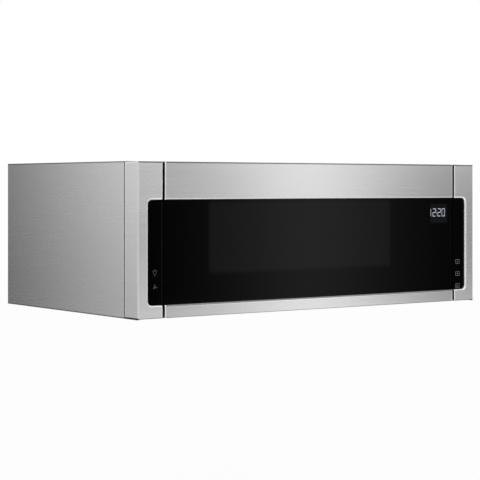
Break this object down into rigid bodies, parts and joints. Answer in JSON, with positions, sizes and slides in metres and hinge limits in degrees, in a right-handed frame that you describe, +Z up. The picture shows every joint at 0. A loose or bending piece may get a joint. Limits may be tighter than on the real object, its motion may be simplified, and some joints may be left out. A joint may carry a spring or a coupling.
{
  "type": "over-the-range microwave oven",
  "caption": "Low profile over-the-range microwave with side-hinged glass door, turntable oven, vent hood blower, grease filters and touch controls.",
  "frame": {"origin": "middle of the underside, at the centre of the width and the depth", "axes": "+X to the right seen from the front, +Y from the front to the wall, +Z up"},
  "size_m": [0.76, 0.45, 0.26],
  "materials": {
    "stainless": "brushed, horizontal grain",
    "galvanised": "galvanised sheet",
    "painted_case": "black powder coat",
    "black_glass": "polished black glass",
    "clear_glass": "clear glass",
    "black_plastic": "moulded, fine grain",
    "grey_plastic": "moulded",
    "white_plastic": "moulded",
    "cavity_enamel": "light grey enamel",
    "aluminium": "mill finish",
    "copper_winding": "lacquered copper wire",
    "board": "circuit board",
    "mica": "mica sheet",
    "charcoal": "charcoal granules in a mesh",
    "steel_screw": "zinc plated",
    "display": "display window"
  },
  "bodies": {
    "case": {"left_side_panel": "stainless", "right_side_panel": "stainless", "top_cover": "galvanised", "base_plate": "painted_case", "back_panel": "galvanised", "wall_mounting_plate": "galvanised", "front_frame": "painted_case", "vent_grille": "black_plastic", "charcoal_filter": "charcoal", "cord_bushing": "black_plastic", "case_screws": "steel_screw", "left_end_cap": "stainless", "right_end_cap": "stainless", "end_glasses": "black_glass", "end_frames": "black_plastic", "touch_boards": "board", "hinge_brackets": "galvanised", "hinge_pins": "steel_screw", "latch_board": "white_plastic", "interlock_switches": "black_plastic", "release_motor": "galvanised", "cavity_liner": "cavity_enamel", "waveguide": "galvanised", "waveguide_cover": "mica", "magnetron": "aluminium", "cavity_lamp": "white_plastic", "high_voltage_transformer": "copper_winding", "high_voltage_capacitor": "aluminium", "control_board": "board", "turntable_motor": "galvanised", "cooling_fan_baffle": "galvanised", "cooling_fan_motor": "galvanised", "blower_housing": "galvanised", "blower_motor": "galvanised", "exhaust_duct": "galvanised", "lamp_lenses": "clear_glass", "cooktop_lamps": "white_plastic"},
    "door": {"door_trims": "stainless", "door_glass": "black_glass", "door_frame": "black_plastic", "display_module": "display", "choke_frame": "painted_case", "door_inner_cover": "black_plastic", "door_inner_glass": "clear_glass", "latch_spring": "steel_screw"},
    "latch_hooks": {"latch_hooks": "white_plastic"},
    "interlock_buttons": {"interlock_buttons": "white_plastic"},
    "push_rod": {"push_rod": "white_plastic"},
    "release_cam": {"release_cam": "white_plastic"},
    "turntable_coupler": {"turntable_coupler": "white_plastic"},
    "glass_tray": {"glass_tray": "clear_glass"},
    "roller_ring": {"roller_ring": "grey_plastic"},
    "roller_1": {"roller_1": "grey_plastic"},
    "roller_2": {"roller_2": "grey_plastic"},
    "roller_3": {"roller_3": "grey_plastic"},
    "blower_wheels": {"blower_wheels": "grey_plastic"},
    "cooling_fan_blade": {"cooling_fan_blade": "grey_plastic"},
    "damper_flap": {"damper_flap": "aluminium"},
    "left_grease_filter": {"left_grease_filter": "aluminium"},
    "right_grease_filter": {"right_grease_filter": "aluminium"}
  },
  "joints": [
    {"name": "door_hinge", "type": "hinge", "parent": "case", "child": "door", "pos_m": [-0.3146, -0.217, 0.13], "axis": [0, 0, -1], "range_deg": [0, 110]},
    {"name": "latch_slide", "type": "slide", "parent": "door", "child": "latch_hooks", "axis": [0, 0, -1], "range_m": [0, 0.004], "stiffness_N_per_m": 600, "springref_m": -0.003, "deforming": ["latch_spring"]},
    {"name": "button_travel", "type": "slide", "parent": "case", "child": "interlock_buttons", "axis": [0, -1, 0], "range_m": [0, 0.0015]},
    {"name": "push_rod_travel", "type": "slide", "parent": "case", "child": "push_rod", "axis": [0, -1, 0], "range_m": [0, 0.012]},
    {"name": "cam_turn", "type": "hinge", "parent": "case", "child": "release_cam", "pos_m": [0.302, -0.1406, 0.132], "axis": [-1, 0, 0], "range_deg": [0, 180]},
    {"name": "turntable_spin", "type": "hinge", "parent": "case", "child": "turntable_coupler", "pos_m": [-0.033, -0.0286, 0.05], "axis": [0, 0, 1], "continuous": true},
    {"name": "tray_lift", "type": "slide", "parent": "turntable_coupler", "child": "glass_tray", "axis": [0, 0, 1], "range_m": [0, 0.06]},
    {"name": "ring_spin", "type": "hinge", "parent": "case", "child": "roller_ring", "pos_m": [-0.033, -0.0286, 0.0543], "axis": [0, 0, 1], "continuous": true},
    {"name": "roller_1_spin", "type": "hinge", "parent": "roller_ring", "child": "roller_1", "pos_m": [0.079, -0.0286, 0.0543], "axis": [1, 0, 0], "continuous": true},
    {"name": "roller_2_spin", "type": "hinge", "parent": "roller_ring", "child": "roller_2", "pos_m": [-0.089, 0.06839, 0.0543], "axis": [-0.5, 0.866, 0], "continuous": true},
    {"name": "roller_3_spin", "type": "hinge", "parent": "roller_ring", "child": "roller_3", "pos_m": [-0.089, -0.1256, 0.0543], "axis": [-0.5, -0.866, 0], "continuous": true},
    {"name": "blower_spin", "type": "hinge", "parent": "case", "child": "blower_wheels", "pos_m": [0, 0.1722, 0.1], "axis": [1, 0, 0], "continuous": true},
    {"name": "cooling_fan_spin", "type": "hinge", "parent": "case", "child": "cooling_fan_blade", "pos_m": [0.306, 0.12, 0.178], "axis": [0, 1, 0], "continuous": true},
    {"name": "damper_swing", "type": "hinge", "parent": "case", "child": "damper_flap", "pos_m": [0, 0.20897, 0.181], "axis": [-1, 0, 0], "range_deg": [0, 78]},
    {"name": "left_filter_pull", "type": "slide", "parent": "case", "child": "left_grease_filter", "axis": [0, 0, -1], "range_m": [0, 0.06]},
    {"name": "right_filter_pull", "type": "slide", "parent": "case", "child": "right_grease_filter", "axis": [0, 0, -1], "range_m": [0, 0.06]}
  ],
  "couplings": [
    {"joint": "push_rod_travel", "follows": "door_hinge", "m_per_rad": 0.006249},
    {"joint": "cam_turn", "follows": "door_hinge", "ratio": 1.636},
    {"joint": "button_travel", "follows": "door_hinge", "m_per_rad": 0.00078},
    {"joint": "ring_spin", "follows": "turntable_spin", "ratio": 0.5},
    {"joint": "roller_1_spin", "follows": "turntable_spin", "ratio": -7},
    {"joint": "roller_2_spin", "follows": "turntable_spin", "ratio": -7},
    {"joint": "roller_3_spin", "follows": "turntable_spin", "ratio": -7}
  ]
}
